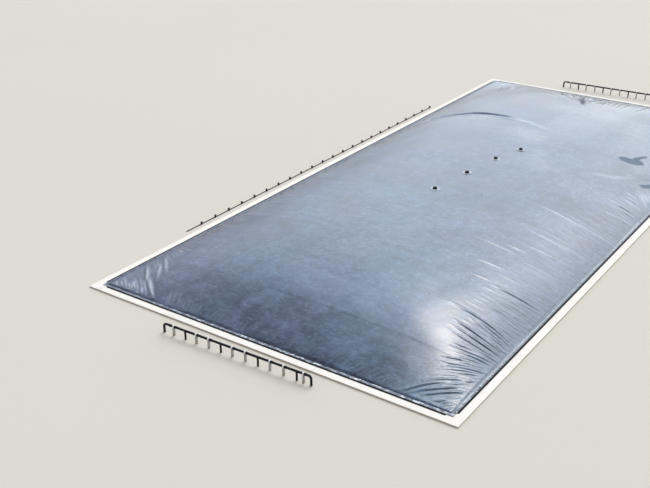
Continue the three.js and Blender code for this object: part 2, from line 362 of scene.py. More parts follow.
def strip_finish():
    strip = Finish("black strip")
    scuff = strip.noise(18.0, 4.0, 0.6).above(0.5, 0.8)
    colour = strip.mix(scuff * 0.25, (0.004, 0.004, 0.005), (0.04, 0.04, 0.043))
    normal = strip.bump(strip.noise(70.0), 0.3, 0.001)
    return strip.done(colour, 0.75 + 0.2 * scuff, normal, Specular_IOR_Level=0.12)


def pipe_finish():
    pipe = Finish("black pipe")
    dust = pipe.noise(9.0, 4.0, 0.6).above(0.45, 0.85)
    colour = pipe.mix(dust * 0.35, (0.003, 0.003, 0.004), (0.04, 0.038, 0.036))
    normal = pipe.bump(pipe.noise(55.0, 2.0, 0.5), 0.25, 0.001)
    return pipe.done(colour, 0.52 + 0.25 * dust, normal, Specular_IOR_Level=0.18)


def post_finish():
    """Weathered grey paint, with rust that rises from the foot and runs below the strap."""
    post = Finish("grey post")
    z = xyz(post, post.place)[2]
    grain = post.noise(40.0, 4.0, 0.6)
    patch = post.noise(16.0, 4.0, 0.65, seed=2.2)
    foot = (1 - z.above(0.0, 0.07)) * patch.above(0.38, 0.6)
    runs = post.noise(30.0, 3.0, 0.6, stretch=(1.0, 1.0, 0.15), seed=7.7).above(0.56, 0.7) * 0.5
    rust = (foot + runs * z.above(0.05, 0.1)).least(1.0)
    paint = post.mix(grain, (0.27, 0.26, 0.235), (0.42, 0.41, 0.375))
    strap = post.mix(z.above(0.1, 0.106), paint, (0.66, 0.65, 0.61))
    rusty = post.mix(patch, (0.17, 0.08, 0.035), (0.3, 0.17, 0.09))
    colour = post.mix(rust * 0.8, strap, rusty)
    return post.done(colour, 0.62 + 0.25 * rust, post.bump(grain + rust, 0.35, 0.001))


def steel_finish():
    steel = Finish("zinc fastener")
    spots = steel.noise(120.0, 3.0, 0.6)
    colour = steel.mix(spots.above(0.45, 0.7), (0.42, 0.42, 0.41), (0.24, 0.15, 0.09))
    return steel.done(colour, 0.5 + 0.2 * spots, Metallic=0.7)


def weld_finish():
    """Extruded black weld, matt and scratched by the grinder beside it."""
    weld = Finish("black weld")
    scratch = weld.noise(60.0, 4.0, 0.65)
    colour = weld.mix(scratch.above(0.4, 0.75), (0.012, 0.012, 0.014), (0.1, 0.1, 0.105))
    return weld.done(colour, 0.42 + 0.3 * scratch, weld.bump(scratch, 0.5, 0.001))


def floor_finish():
    floor = Finish("studio floor")
    shade = floor.noise(0.15, 2.0, 0.5)
    colour = floor.mix(shade, (0.455, 0.405, 0.33), (0.475, 0.425, 0.35))
    return floor.done(colour, 0.92)


MEMBRANE = membrane_finish()
SKIRT = skirt_finish()
PATCH = patch_finish()
CONCRETE = concrete_finish()
STRIP = strip_finish()
PIPE = pipe_finish()
POST = post_finish()
STEEL = steel_finish()
WELD = weld_finish()

# The finish of each CAD piece, by a word of its name.
FINISHES = {
    "beam": CONCRETE, "strip": STRIP, "skirt": SKIRT, "port": STRIP, "pipe": PIPE, "line": PIPE,
    "support": POST,
}
for name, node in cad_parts.items():
    for word in name.split("_"):
        if word in FINISHES:
            node.data.materials.clear()
            node.data.materials.append(FINISHES[word])


# ---- geometry nodes


def new_tree(name, inputs, numbers):
    """An empty geometry tree: its Graph, its named inputs as values, and their sockets.

    inputs maps names to kinds, numbers names more. A first Geometry takes the carrier's mesh.
    """
    inputs = {**inputs, **dict.fromkeys(numbers, "Float")}
    tree = bpy.data.node_groups.new(name, "GeometryNodeTree")
    sockets = {
        label: tree.interface.new_socket(name=label, in_out="INPUT", socket_type="NodeSocket" + kind)
        for label, kind in inputs.items()
    }
    tree.interface.new_socket(name="Geometry", in_out="OUTPUT", socket_type="NodeSocketGeometry")
    graph = Graph(tree)
    entry = tree.nodes.new("NodeGroupInput")
    values = {label: Value(graph, entry.outputs[label]) for label in inputs}
    return graph, values, sockets


def close_tree(graph, geometry, material):
    real = graph.node("GeometryNodeRealizeInstances", {0: geometry})
    finished = graph.node("GeometryNodeSetMaterial", {"Geometry": real, "Material": material})
    graph.node("NodeGroupOutput", {0: finished})


def grown(name, graph, sockets, settings, start=None):
    """Runs a tree with these settings and keeps its result as a plain mesh object."""
    carrier = bpy.data.objects.new(name + " carrier", start or bpy.data.meshes.new("empty"))
    bpy.context.scene.collection.objects.link(carrier)
    modifier = carrier.modifiers.new("tree", "NODES")
    modifier.node_group = graph.tree
    for label, setting in settings.items():
        modifier[sockets[label].identifier] = setting
    depsgraph = bpy.context.evaluated_depsgraph_get()
    mesh = bpy.data.meshes.new_from_object(carrier.evaluated_get(depsgraph), depsgraph=depsgraph)
    carrier.modifiers.remove(modifier)
    bpy.data.objects.remove(carrier)
    mesh.name = name
    if signed_volume(mesh) < 0:
        mesh.flip_normals()
    piece = bpy.data.objects.new(name, mesh)
    bpy.context.scene.collection.objects.link(piece)
    return piece


def signed_volume(mesh):
    """Below zero where the faces of a closed mesh look inward."""
    mesh.calc_loop_triangles()
    places = np.empty(len(mesh.vertices) * 3)
    mesh.vertices.foreach_get("co", places)
    corners = np.empty(len(mesh.loop_triangles) * 3, dtype=np.int32)
    mesh.loop_triangles.foreach_get("vertices", corners)
    a, b, c = places.reshape(-1, 3)[corners.reshape(-1, 3)].transpose(1, 0, 2)
    return float((a * np.cross(b, c)).sum())


# ---- gas cover


def pillow_tree():
    """One closed panel of the cover: a thin slab of cells, bent to the pillow's rule."""
    inputs = {"Columns": "Int", "Rows": "Int", "Material": "Material"}
    numbers = ("Start", "Span", "Crown rise", "End reach", "Side reach", "Climb power", "Row crowding",
               "Thickness", "Lap", "Lap lift")
    graph, given, sockets = new_tree("pillow panel", inputs, numbers)
    cells = {"Vertices X": given["Columns"], "Vertices Y": given["Rows"], "Vertices Z": 2}
    slab = graph.node("GeometryNodeMeshCube", {"Size": (1, 1, 1), **cells})
    u, v, w = xyz(graph, graph.node("GeometryNodeInputPosition"))
    x = given["Start"] + given["Span"] * (u + 0.5)
    share = v + 0.5
    eased = share - given["Row crowding"] * (share * 2 * math.pi).sine() / (2 * math.pi)
    y = COVER_START + (WIDTH - 2 * COVER_START) * eased
    from_end = (x - COVER_START).least(LENGTH - COVER_START - x).most(0.0)
    from_side = (y - COVER_START).least(WIDTH - COVER_START - y).most(0.0)
    along = 1 - (1 - from_end / given["End reach"]).most(0.0) ** given["Climb power"]
    across = 1 - (1 - from_side / given["Side reach"]).most(0.0) ** given["Climb power"]
    toe = 1 - ((0 - from_end.least(from_side)) / TOE_REACH).exp()
    lapped = given["Lap lift"] * (x - (given["Start"] + given["Span"] - given["Lap"])).above(-0.02, 0.0)
    top = TOE_TOP + (COVER_TOP - TOE_TOP) * toe + given["Crown rise"] * along * across + lapped
    z = top + (w - 0.5) * given["Thickness"]
    place = {0: (x - MIDDLE_X) * SCALE, 1: (y - MIDDLE_Y) * SCALE, 2: z * SCALE}
    place = graph.node("ShaderNodeCombineXYZ", place)
    bent = graph.node("GeometryNodeSetPosition", {"Geometry": slab, "Position": place})
    close_tree(graph, bent, given["Material"])
    return graph, sockets


# Between which shares of its length a fold follows the sine, and the sine's power.
TAPER_WITHIN = (0.04, 0.96)
TAPER_POWER = 0.7


def fold_profile(x, y, points, width):
    """A fold's strength along its line of plan points, and the squared distance from it in widths."""
    nearest = np.full(x.shape, 1e9)
    where = np.zeros(x.shape)
    lengths = [math.dist(a, b) for a, b in zip(points, points[1:])]
    run = 0.0
    for (x0, y0), (x1, y1), length in zip(points, points[1:], lengths):
        share = ((x - x0) * (x1 - x0) + (y - y0) * (y1 - y0)) / length ** 2
        share = np.clip(share, 0.0, 1.0)
        distance = np.hypot(x - x0 - share * (x1 - x0), y - y0 - share * (y1 - y0))
        closer = distance < nearest
        nearest = np.where(closer, distance, nearest)
        where = np.where(closer, (run + share * length) / sum(lengths), where)
        run += length
    taper = np.sin(math.pi * np.clip(where, *TAPER_WITHIN)) ** TAPER_POWER
    return taper, (nearest / width) ** 2


# Folds seen in the cover: plan points, crest height (below zero for a valley) and half width.
SEEN_FOLDS = (
    (((1.1, 6.9), (2.4, 5.9), (3.8, 4.7), (5.2, 3.2)), 0.075, 0.24),
    (((1.1, 6.0), (2.4, 4.9), (3.7, 3.5), (4.8, 2.0)), 0.08, 0.24),
    (((1.6, 4.5), (2.9, 3.2), (4.4, 1.5)), 0.08, 0.25),
    (((3.6, 5.6), (4.9, 4.2), (6.2, 2.6), (7.0, 1.4)), 0.055, 0.22),
    (((5.0, 2.9), (6.8, 1.2)), 0.045, 0.2),
    (((1.2, 3.3), (2.6, 1.6)), 0.06, 0.22),
    (((6.3, 5.1), (7.4, 3.6), (8.3, 1.6)), 0.03, 0.2),
    (((7.4, 6.0), (8.4, 3.8), (9.2, 1.4)), 0.025, 0.2),
    (((11.3, 6.6), (11.2, 1.2)), 0.025, 0.2),
    (((13.7, 7.8), (13.3, 4.4), (12.9, 1.0)), 0.045, 0.22),
    (((14.8, 7.7), (14.3, 4.4), (13.8, 1.2)), 0.045, 0.22),
    (((15.5, 6.8), (14.6, 1.3)), 0.03, 0.2),
    (((17.6, 10.0), (17.3, 7.0), (16.8, 4.2), (15.9, 1.2)), 0.065, 0.26),
    (((19.2, 6.0), (18.9, 1.2)), 0.025, 0.2),
    (((20.2, 8.2), (20.0, 1.2)), 0.035, 0.22),
    (((21.0, 8.0), (20.9, 1.6)), 0.03, 0.22),
    (((23.4, 8.3), (23.6, 3.0)), 0.03, 0.22),
    (((24.4, 8.0), (24.6, 1.5)), 0.04, 0.23),
    (((25.2, 11.4), (25.2, 8.3)), 0.022, 0.3),
    (((28.9, 12.8), (28.8, 8.2)), 0.024, 0.32),
    (((32.2, 1.0), (32.5, 7.6)), 0.03, 0.24),
    (((33.4, 8.0), (34.2, 16.0)), 0.02, 0.3),
    (((34.8, 8.0), (35.0, 11.0)), 0.035, 0.3),
    (((36.8, 2.0), (36.9, 9.5)), 0.035, 0.28),
    (((40.0, 1.0), (40.4, 6.0), (41.2, 11.2)), 0.026, 0.24),
    (((47.2, -0.9), (47.8, 6.8), (49.1, 13.2)), 0.036, 0.24),
    (((55.0, 2.0), (55.3, 5.0)), 0.04, 0.28),
    (((57.6, 1.3), (57.9, 4.6)), 0.045, 0.28),
    (((58.5, 1.8), (59.1, 5.7)), 0.06, 0.28),
    (((60.2, 1.4), (61.5, 4.6)), 0.055, 0.28),
    (((61.3, 1.2), (62.5, 4.6)), 0.065, 0.28),
    (((63.0, 2.8), (63.9, 5.2)), 0.055, 0.28),
    (((62.2, 1.0), (64.2, 2.4), (66.2, 3.6)), 0.045, 0.26),
    (((64.0, 1.3), (66.6, 3.4)), 0.045, 0.26),
    (((64.8, 12.2), (66.5, 10.0), (67.3, 8.0), (69.0, 6.6), (71.5, 6.0)), 0.06, 0.85),
    (((1.0, 42.1), (2.6, 43.9), (4.2, 45.6)), 0.17, 0.32),
    (((2.8, 44.8), (4.8, 46.6), (6.8, 48.6)), 0.15, 0.3),
    (((1.2, 45.8), (2.8, 47.0)), 0.09, 0.26),
    (((1.0, 43.8), (2.0, 44.9)), 0.07, 0.24),
    (((4.6, 44.6), (8.1, 47.3)), 0.07, 0.3),
    (((6.1, 44.5), (10.1, 48.5)), 0.08, 0.3),
    (((11.3, 46.3), (12.5, 48.5)), 0.06, 0.3),
    (((12.3, 45.8), (13.1, 48.7)), 0.06, 0.3),
    (((76.6, 48.9), (79.6, 46.6), (81.6, 43.4), (82.9, 40.3), (83.3, 36.8), (83.0, 33.6), (81.9, 30.4),
      (80.6, 27.0)), -0.22, 0.56),
    (((82.6, 36.0), (82.3, 32.0), (81.3, 28.3), (79.6, 24.2)), 0.17, 0.74),
    (((104.0, 42.6), (107.0, 43.5), (110.0, 44.5)), 0.1, 0.6),
    (((103.4, 44.3), (107.6, 46.6)), -0.16, 0.5),
    (((109.8, 29.6), (105.6, 28.2), (101.6, 26.6), (98.0, 25.3)), -0.5, 0.46),
    (((110.6, 27.6), (106.5, 27.0), (101.5, 25.6)), 0.12, 0.4),
    (((110.2, 33.2), (106.5, 31.0), (102.0, 28.0)), 0.12, 0.4),
    (((108.5, 24.0), (104.5, 24.6), (101.0, 25.2)), 0.1, 0.36),
    (((107.5, 35.5), (104.0, 32.0), (101.5, 28.5)), 0.09, 0.36),
    (((104.0, 36.0), (102.0, 32.0), (100.6, 28.6)), 0.08, 0.36),
)

# Guide lines of the fine folds, each from the clamped edge inward. Folds lie between neighbours.
NEAR_RIGHT = (
    ((1.9, 1.0), (1.5, 1.5), (1.0, 1.9)),
    ((4.3, 1.0), (2.9, 2.6), (1.0, 4.2)),
    ((6.9, 1.0), (4.5, 3.6), (0.9, 6.7)),
)
RIGHT_BEGIN = (
    ((6.9, 1.0), (5.9, 2.3), (4.4, 4.4)),
    ((8.7, 1.0), (7.6, 3.0), (6.1, 5.4)),
    ((10.4, 1.0), (10.0, 3.6), (9.2, 6.4)),
    ((12.5, 1.0), (12.8, 4.3), (13.4, 7.7)),
    ((15.5, 1.0), (16.5, 4.4), (17.3, 8.6)),
    ((19.5, 1.0), (19.9, 4.8), (20.2, 9.0)),
    ((25.0, 1.0), (25.0, 5.0), (25.2, 9.5)),
)
RIGHT_MIDDLE = (
    RIGHT_BEGIN[-1],
    ((32.4, 1.0), (33.3, 6.0), (34.0, 11.0)),
    ((40.0, 1.0), (40.4, 5.5), (41.2, 10.0)),
    ((47.2, 1.0), (47.8, 5.5), (48.6, 10.0)),
    ((55.0, 1.0), (55.3, 3.5), (56.2, 7.0)),
    ((60.3, 1.0), (61.0, 2.9), (62.2, 5.2)),
    ((63.3, 1.0), (64.5, 2.5), (66.0, 4.2)),
    ((66.3, 1.3), (67.5, 2.5), (68.8, 3.4)),
)
RIGHT_END = (
    ((72.6, 1.3), (72.0, 2.2), (71.4, 3.1)),
    ((76.0, 1.0), (74.6, 2.9), (73.0, 4.6)),
    ((80.0, 1.0), (79.4, 3.5), (78.4, 6.5)),
    ((88.0, 1.0), (87.8, 4.0), (87.3, 8.0)),
)
NEAR_SIDE = (
    ((0.9, 6.7), (2.2, 5.6), (3.5, 4.4)),
    ((0.9, 9.0), (2.1, 8.4), (3.3, 7.6)),
    ((0.9, 12.5), (2.0, 12.2), (3.0, 11.9)),
    ((0.9, 20.0), (1.8, 20.0), (2.8, 20.0)),
    ((0.9, 34.0), (1.8, 34.1), (2.8, 34.3)),
    ((0.9, 40.0), (2.2, 40.8), (3.5, 41.8)),
)
NEAR_LEFT = (
    ((0.9, 48.2), (1.3, 48.6), (1.8, 49.1)),
    ((0.9, 46.6), (1.9, 47.8), (3.0, 49.1)),
    ((0.9, 44.6), (2.6, 46.4), (4.3, 49.1)),
    ((0.9, 42.0), (3.4, 44.8), (6.2, 49.0)),
)
LEFT_BEGIN = (
    ((7.0, 49.0), (5.5, 47.0), (3.6, 44.6)),
    ((10.2, 49.0), (8.2, 46.6), (6.0, 44.4)),
    ((13.1, 49.0), (12.4, 47.0), (11.2, 44.8)),
    ((18.0, 49.0), (17.8, 47.0), (17.3, 44.5)),
    ((26.0, 49.0), (26.0, 46.8), (26.0, 44.0)),
)
FAR_SIDE = (
    ((111.5, 9.0), (108.0, 9.3), (104.5, 10.0)),
    ((111.5, 16.0), (105.5, 16.3), (98.0, 17.0)),
    ((111.5, 24.0), (106.0, 23.4), (98.0, 22.0)),
)
FAR_LEFT_SIDE = (
    ((111.5, 32.0), (108.0, 32.5), (104.5, 33.5)),
    ((111.5, 40.0), (108.5, 41.0), (105.5, 42.3)),
)


def mirrored(guides):
    """The same guide lines at the plant's far end."""
    return tuple(tuple((LENGTH - x, y) for x, y in line) for line in guides)


def part_of(line, start, end):
    """Five plan points of the curve through a guide line's three, between two shares of it."""
    points = []
    for k in range(5):
        t = start + (end - start) * k / 4
        weights = ((1 - t) * (1 - 2 * t), 4 * t * (1 - t), t * (2 * t - 1))
        points.append(tuple(sum(w * p[axis] for w, p in zip(weights, line)) for axis in (0, 1)))
    return tuple(points)


# How unevenly a fan's folds lie: steps to the first and the next one in pitches, share of the
# height, the guide points' scatter, and the earliest start along the guide line.
FIRST_STEP = (0.1, 0.9)
NEXT_STEP = (0.7, 1.35)
HEIGHT_SHARE = (0.35, 1.0)
SCATTER = 0.05
EARLY_START = -0.06


def fan(draw, guides, pitch, height, width, reach=(0.5, 1.0), start=0.12):
    """Seeded folds between neighbouring guide lines, at about the given pitch.

    height is the most that a fold has, width the range of half widths, start the latest share of the
    guide line where a fold begins, and reach the shares of it where a fold may end.
    """
    folds = []
    for first, second in zip(guides, guides[1:]):
        gap = math.dist(first[1], second[1])
        share = draw.uniform(*FIRST_STEP) * pitch / gap
        while share < 1.0:
            line = tuple(
                tuple(a + (b - a) * share + draw.normal(0.0, SCATTER) for a, b in zip(one, other))
                for one, other in zip(first, second)
            )
            places = part_of(line, draw.uniform(EARLY_START, start), draw.uniform(*reach))
            folds.append((places, height * draw.uniform(*HEIGHT_SHARE), draw.uniform(*width)))
            share += draw.uniform(*NEXT_STEP) * pitch / gap
    return folds


def star(draw, count=14, centre_x=100.5, centre_y=26.2, half_width=0.3):
    """Uneven short folds all round the inner end of the valley at the far side's hollow."""
    folds = []
    for k in range(count):
        turn = 2 * math.pi * (k + draw.uniform(-0.4, 0.4)) / count
        span = (draw.uniform(0.7, 1.6), draw.uniform(2.2, 4.8))
        places = tuple((centre_x + r * math.cos(turn), centre_y + r * math.sin(turn)) for r in span)
        folds.append((places, draw.uniform(0.03, 0.08), half_width))
    return folds


THIN = (0.16, 0.2)
FINE = (0.17, 0.24)
WIDE = (0.26, 0.36)
# Fans in the order of their random draws, before and after the star: what fan() takes after draw.
FANS = (
    (NEAR_RIGHT, 0.44, 0.066, FINE, (0.5, 1.0), 0.2),
    (RIGHT_BEGIN[:5], 0.42, 0.07, FINE),
    (RIGHT_BEGIN[4:], 0.48, 0.03, FINE),
    (RIGHT_MIDDLE, 0.7, 0.02, WIDE),
    (RIGHT_END, 0.75, 0.035, WIDE),
    (mirrored(RIGHT_BEGIN), 0.85, 0.035, WIDE),
    (mirrored(NEAR_RIGHT), 0.85, 0.055, WIDE),
    (NEAR_SIDE, 0.6, 0.03, (0.17, 0.22)),
    (NEAR_LEFT, 0.55, 0.065, (0.18, 0.25), (0.5, 1.0), 0.2),
    (LEFT_BEGIN, 0.65, 0.026, (0.2, 0.26)),
    ((LEFT_BEGIN[-1], mirrored(LEFT_BEGIN)[-1]), 0.95, 0.028, WIDE),
    (mirrored(LEFT_BEGIN), 0.9, 0.035, WIDE),
    (mirrored(NEAR_LEFT), 0.9, 0.1, WIDE),
    (FAR_SIDE, 1.15, 0.16, (0.34, 0.46), (0.75, 1.0)),
    (FAR_LEFT_SIDE, 0.95, 0.045, WIDE),
    (mirrored(NEAR_SIDE[:2]), 0.9, 0.055, WIDE),
)
LATE_FANS = (
    (RIGHT_MIDDLE[4:], 0.62, 0.034, THIN),
    (RIGHT_END[:2], 0.62, 0.034, THIN),
    (NEAR_RIGHT, 0.5, 0.055, THIN, (0.5, 1.0), 0.3),
    (RIGHT_BEGIN[:4], 0.52, 0.036, THIN, (0.7, 1.1)),
)


def all_folds():
    draw = np.random.default_rng(11)
    folds = list(SEEN_FOLDS)
    for settings in FANS:
        folds += fan(draw, *settings)
    folds += star(draw)
    for settings in LATE_FANS:
        folds += fan(draw, *settings)
    return folds


FOLDS = all_folds()


def slack(x, y, waves=26, shortest=4.5, longest=16.0, height=0.012):
    """Broad shallow undulation of the sheet, from a seeded set of long waves."""
    draw = np.random.default_rng(5)
    total = np.zeros(x.shape)
    for _ in range(waves):
        turn = draw.uniform(0.0, 2 * math.pi)
        wave = draw.uniform(shortest, longest)
        phase = draw.uniform(0.0, 2 * math.pi)
        travel = (x * math.cos(turn) + y * math.sin(turn)) * 2 * math.pi / wave
        total += np.sin(travel + phase) * wave / longest
    return total * height


def bell(offset, width):
    """1 where the offset is zero, falling off over the width."""
    return np.exp(-((offset / width) ** 2))


def inward_distance(x, y):
    """Plan distance from the toe of the cover."""
    return np.minimum(np.minimum(x, LENGTH - x), np.minimum(y, WIDTH - y)) - COVER_START


def rising(x, start, span):
    """0 up to the start, 1 after the span, and a straight rise between them."""
    return np.clip((x - start) / span, 0.0, 1.0)


def across_folds(x, y, corner=6.0, fade=9.0):
    """A measure that is even along the fine pleats: it turns round each corner with them.

    It runs round as a circle within the corner's size, and is square once the fade is past.
    """
    least = 0.01
    x = np.maximum(np.minimum(x, LENGTH - x), least)
    y = np.maximum(np.minimum(y, WIDTH - y), least)
    far = rising(np.maximum(x, y), corner, fade)
    power = 2 + 6 * far * far * (3 - 2 * far)
    return (x ** power + y ** power) ** (1 / power)


def lip(x, y, height=0.022, reach=0.3):
    """The slack sheet rolls a little over its own toe, more in some places than in others."""
    run = across_folds(x, y)
    swell = 0.6 + 0.25 * np.sin(run * 1.9) + 0.15 * np.sin(run * 4.7 + 1.0)
    return height * swell * bell(inward_distance(x, y) - reach, reach)


def chalk_and_highlight_share(x, y):
    """How much pale dust and painted highlight the fold crests carry: most past the first third and in
    the near left corner.
    """
    corner = 0.36 * bell(x - 3.0, 7.0) * bell(y - 45.5, 5.0)
    return 0.06 + 0.31 * rising(x, 18.0, 26.0) - 0.04 * rising(x, 80.0, 12.0) + corner


# Half widths within which a fold is felt, the depth of the troughs beside it, how sharp the pale dust and
# painted highlight on a crest and the silt in a valley are, the height over half width and the depth that
# carry all of it, the most silt, and the flat rim.
FOLD_REACH = 3.2
TROUGH = 0.9
MARK_SHARPNESS = 2.2
STEEP = 0.15
DEEP = 0.3
MOST_SILT = 0.9
RIM_HELD = 0.16


def creases(x, y):
    """Height that folds add to the pillow, none at the rim and the ports, with the pale dust and painted
    highlight of their crests and their silt.
    """
    total = slack(x, y)
    chalk_and_highlight = np.zeros(x.shape)
    silt = wetness(x, y)
    low = x.min()
    high = x.max()
    for points, height, width in FOLDS:
        reach = FOLD_REACH * width
        xs = [p[0] for p in points]
        ys = [p[1] for p in points]
        first = min(xs) - reach
        last = max(xs) + reach
        if first > high or last < low:
            continue
        near = (x > first) & (x < last) & (y > min(ys) - reach) & (y < max(ys) + reach)
        if near.any():
            taper, off = fold_profile(x[near], y[near], points, width)
            total[near] += height * taper * (1 - TROUGH * off) * np.exp(-off)
            # Crests take pale dust and a painted highlight, valleys take silt.
            marked = chalk_and_highlight if height > 0 else silt
            share = min(1.0, height / width / STEEP) if height > 0 else min(MOST_SILT, -height / DEEP)
            marked[near] = np.maximum(marked[near], share * taper * np.exp(-MARK_SHARPNESS * off))
    total += lip(x, y)
    for hollow_x, hollow_y, depth, radius in HOLLOWS:
        total -= depth * bell(np.hypot(x - hollow_x, y - hollow_y), radius)
    held = 1 - bell(np.maximum(inward_distance(x, y), 0.0), RIM_HELD)
    for port_x, port_y in PORTS:
        held *= 1 - bell(np.hypot(x - port_x, y - port_y), PORT_CLEAR)
    return total * held, chalk_and_highlight * chalk_and_highlight_share(x, y) * held, silt


# Broad patches of painted sheen and painted shade on the cover: plan points, half width and how much
# paler (or darker) they are.
LIGHT_AND_SHADE_PATCHES = (
    (((73.0, 16.2), (83.5, 15.5)), 3.2, -0.16),
    (((85.0, 11.5), (92.0, 12.2)), 2.8, 0.16),
    (((76.5, 28.5), (74.5, 24.5)), 2.2, 0.18),
    (((94.0, 28.0), (93.3, 19.0)), 3.0, 0.18),
    (((101.0, 22.0), (104.5, 13.0)), 4.0, 0.22),
    (((81.0, 37.5), (76.5, 45.5)), 1.6, 0.12),
    (((68.0, 21.0), (63.0, 18.0)), 1.8, 0.1),
)

# Dried silt: a puddle, its narrow tail and the hollow at the right side. Plan points and half width.
SILT_MARKS = (
    (((75.5, 9.3), (75.6, 8.4), (76.1, 7.5)), 0.95),
    (((76.4, 8.3), (77.4, 8.0), (79.1, 7.1)), 0.34),
    (((70.9, 3.1), (69.6, 3.9), (69.0, 4.1)), 0.5),
)


# Painted sheen (above zero) and painted shade (below zero) of the broad patches.
def light_and_shade_patches(x, y):
    total = np.zeros(x.shape)
    for points, width, strength in LIGHT_AND_SHADE_PATCHES:
        total += strength * np.exp(-fold_profile(x, y, points, width)[1])
    return total


def wetness(x, y):
    """1 where silt has dried, falling to 0 at 1.6 half widths from the middle of each mark."""
    share = np.zeros(x.shape)
    for points, width in SILT_MARKS:
        off = fold_profile(x, y, points, width)[1]
        share = np.maximum(share, np.clip(1.6 - np.sqrt(off), 0.0, 1.0))
    return share


def pleat_strength(x, y, right_reach=5.5, other_reach=2.6, toe=0.25):
    """How deep the fine pleats are: deepest at the right side, fading inward."""
    inward = np.maximum(inward_distance(x, y), 0.0)
    right = bell(y - COVER_START, right_reach)
    other = 0.45 * bell(inward, other_reach)
    return np.maximum(right, other) * (1 - np.exp(-inward / toe))


def seam_grime_and_shade(x, seams, offset=0.05, width=0.09, strength=0.12):
    """Dirt and painted shade just past each lapped seam."""
    return strength * np.max([bell(x - seam - LAP - offset, width) for seam in seams], axis=0)


def cover_panels():
    graph, sockets = pillow_tree()
    tones = np.random.default_rng(8).uniform(0.2, 0.8, PANELS)
    seams = [SEAM_FIRST + k * SEAM_PITCH for k in range(PANELS - 1)]
    ends = [COVER_START, *seams, LENGTH - COVER_START]
    for k in range(PANELS):
        last = k == PANELS - 1
        lap = 0.0 if last else LAP
        columns, rows, crowding = PANEL_GRIDS[k]
        settings = {
            "Start": ends[k], "Span": ends[k + 1] + lap - ends[k], "Crown rise": CROWN_RISE,
            "End reach": END_REACH, "Side reach": SIDE_REACH, "Climb power": CLIMB_POWER,
            "Row crowding": crowding, "Thickness": SHEET, "Lap": lap,
            "Lap lift": 0.0 if last else LAP_LIFT, "Columns": columns, "Rows": rows, "Material": MEMBRANE,
        }
        panel = grown(f"cover_panel_{k + 1}", graph, sockets, settings)
        mesh = panel.data
        places = np.empty(len(mesh.vertices) * 3, dtype=np.float32)
        mesh.vertices.foreach_get("co", places)
        places = places.reshape(-1, 3).astype(np.float64)
        x = places[:, 0] / SCALE + MIDDLE_X
        y = places[:, 1] / SCALE + MIDDLE_Y
        height, chalk_and_highlight, silt = creases(x, y)
        places[:, 2] += height * SCALE
        mesh.vertices.foreach_set("co", places.astype(np.float32).ravel())
        attributes = {
            "tone": np.full(len(x), tones[k]), "chalk_and_highlight": chalk_and_highlight, "silt": silt, "light_and_shade_patches": light_and_shade_patches(x, y),
            "across": across_folds(x, y), "inward": inward_distance(x, y),
            "pleated": pleat_strength(x, y), "seam_grime_and_shade": seam_grime_and_shade(x, seams),
        }
        for name, values in attributes.items():
            layer = mesh.attributes.new(name, "FLOAT", "POINT")
            layer.data.foreach_set("value", values.astype(np.float32))
        mesh.shade_smooth()
        mesh.set_sharp_from_angle(angle=math.radians(55))
        mesh.update()
        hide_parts("gas_cover")
        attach(panel, "root")
        cut = (settings["Span"] * SCALE, SHEET_OVER_SPAN * (WIDTH - 2 * COVER_START) * SCALE)


cover_panels()


# ---- small fittings

# Each rack's left end (X, Y) and its turn to the coping in degrees.
RACK_PLACES = {"near": (-3.66, 35.6, 1.7), "far": (LENGTH + 4.1, 36.3, 2.4)}
RACK_LENGTH = 20.37
PIPE_AXIS = 1.15
BEND = 0.36
# Along a rack: its drop pipes, and the posts before and past them. Along the left side: the risers.
DROPS = tuple(3.16 + 5.12 * k for k in range(4))
SUPPORTS = tuple(sorted(
    [drop - 1.7 for drop in DROPS] + [drop + 1.62 for drop in DROPS[:-1]] + [DROPS[-1] + 0.87]
))
RISERS = tuple(21.58 + 3.03 * k for k in range(23))
RISER_Y = WIDTH + 2.15
# Couplers past each post and before the first, elbow welds within the bends, tee collars and strap
# bolts below the pipe's axis, strap bolts to each side of it, and collars up the risers.
COUPLER_PAST = 0.25
COUPLER_BEFORE = 0.5
ELBOW_WITHIN = 0.05
TEE_BELOW = 0.2
STRAP_BELOW = 0.24
STRAP_ASIDE = 0.085
COLLAR_UP = 0.16
# Above a port's foot: its lid's bolts, at a share of its height, and the middle of its patch.
LID_UP = 0.79 * 0.24
PATCH_UP = 0.01

# Rings: radius of the section's middle, width along the axis and thickness outward.
COUPLER = (0.149, 0.28, 0.026)
ELBOW_WELD = (0.138, 0.034, 0.016)
TEE_COLLAR = (0.127, 0.09, 0.024)
RISER_COLLAR = (0.152, 0.06, 0.022)
PORT_PATCH = (0.545, 0.014, 0.41)
PATCH_BEAD = (0.755, 0.018, 0.024)
# Bolts: shank radius and grip.
STRAP_BOLT = (0.012, 0.17)
LID_BOLT = (0.008, 0.0625)
LID_BOLTS = 8
LID_BOLT_CIRCLE = 0.255
# In shank radii: the shank's length past the grip; the radius and thickness of washer and hexagon, and
# their middles' distance from the grip's end.
SHANK_PAST = 4.4
WASHER = (2.2, 0.5, 0.25)
HEXAGON = (1.75, 1.5, 1.25)

UPRIGHT = (0.0, 0.0, 0.0)


def points_mesh(points, joined=False):
    """A mesh of loose points, or one open line through them."""
    mesh = bpy.data.meshes.new("places")
    edges = [(k, k + 1) for k in range(len(points) - 1)] if joined else []
    mesh.from_pydata(points, edges, [])
    return mesh


# Inputs of a tree that sets one form on every place.
PLACED = {"Places": "Geometry", "Turn": "Rotation", "Material": "Material"}


def spread(graph, given, form):
    """Ends a tree with its form on every place."""
    sockets = {"Points": given["Places"], "Instance": form, "Rotation": given["Turn"]}
    close_tree(graph, graph.node("GeometryNodeInstanceOnPoints", sockets), given["Material"])


